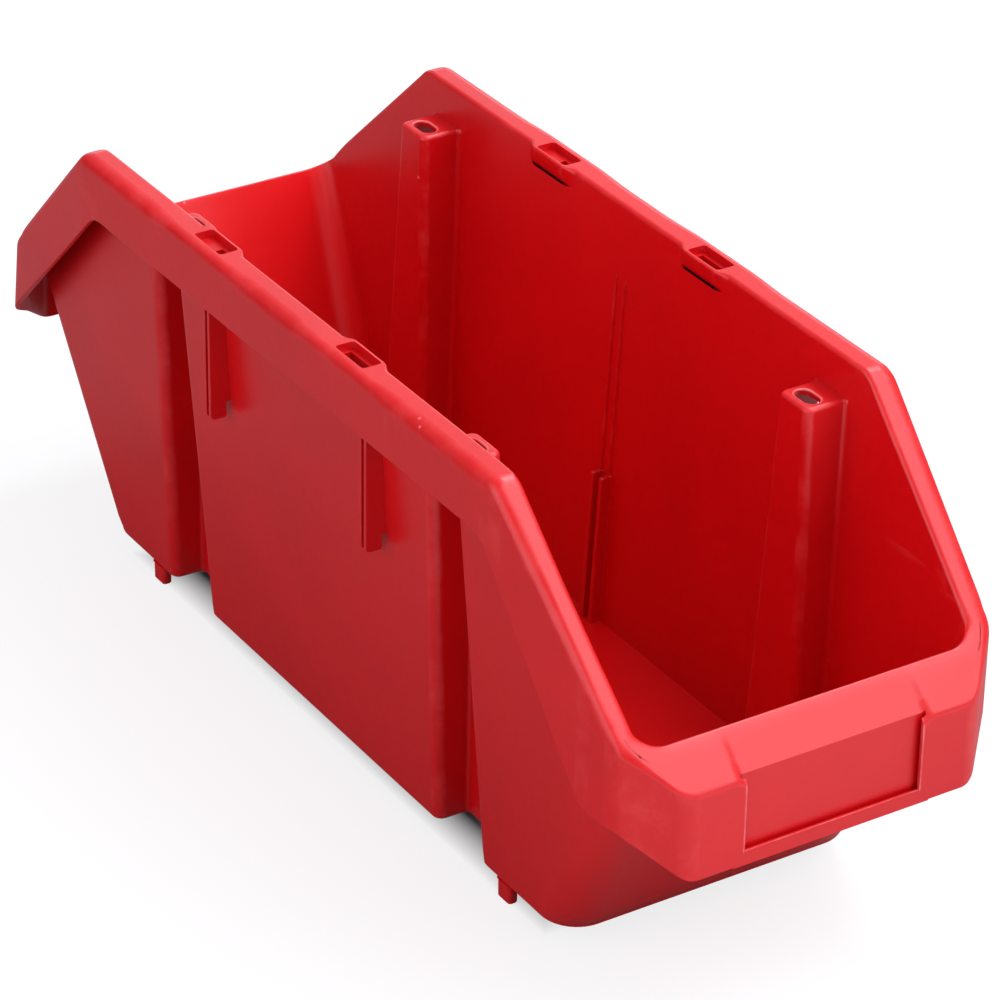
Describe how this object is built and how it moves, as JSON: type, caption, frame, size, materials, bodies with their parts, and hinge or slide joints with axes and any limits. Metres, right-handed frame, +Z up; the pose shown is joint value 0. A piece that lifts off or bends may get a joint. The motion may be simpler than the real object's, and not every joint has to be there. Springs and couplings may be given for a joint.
{
  "type": "hanging parts bin",
  "caption": "Long double-ended hopper bin in moulded plastic: hanging rim flange, label pockets, hollow corner posts and pegs for stacking and nesting.",
  "frame": {"origin": "centre of the footprint on the plane of the stacking peg tips", "axes": "+Z up, Y along the length with the picking end at -Y, X across"},
  "size_m": [0.165, 0.47, 0.185],
  "materials": {
    "red_polypropylene": "satin moulded polypropylene, fine grain, self-coloured red"
  },
  "bodies": {
    "root": {"floor_pan": "red_polypropylene", "front_hopper_wall": "red_polypropylene", "rear_hopper_wall": "red_polypropylene", "left_side_wall": "red_polypropylene", "right_side_wall": "red_polypropylene", "left_front_post": "red_polypropylene", "left_rear_post": "red_polypropylene", "right_front_post": "red_polypropylene", "right_rear_post": "red_polypropylene", "left_rim_flange": "red_polypropylene", "right_rim_flange": "red_polypropylene", "front_lip_flange": "red_polypropylene", "rear_lip_flange": "red_polypropylene", "front_label_pocket": "red_polypropylene", "rear_label_pocket": "red_polypropylene", "left_rim_slots": "red_polypropylene", "right_rim_slots": "red_polypropylene", "left_front_hanger_rails": "red_polypropylene", "left_rear_hanger_rails": "red_polypropylene", "right_front_hanger_rails": "red_polypropylene", "right_rear_hanger_rails": "red_polypropylene", "left_divider_guide": "red_polypropylene", "right_divider_guide": "red_polypropylene", "left_stacking_pegs": "red_polypropylene", "right_stacking_pegs": "red_polypropylene"}
  },
  "joints": []
}
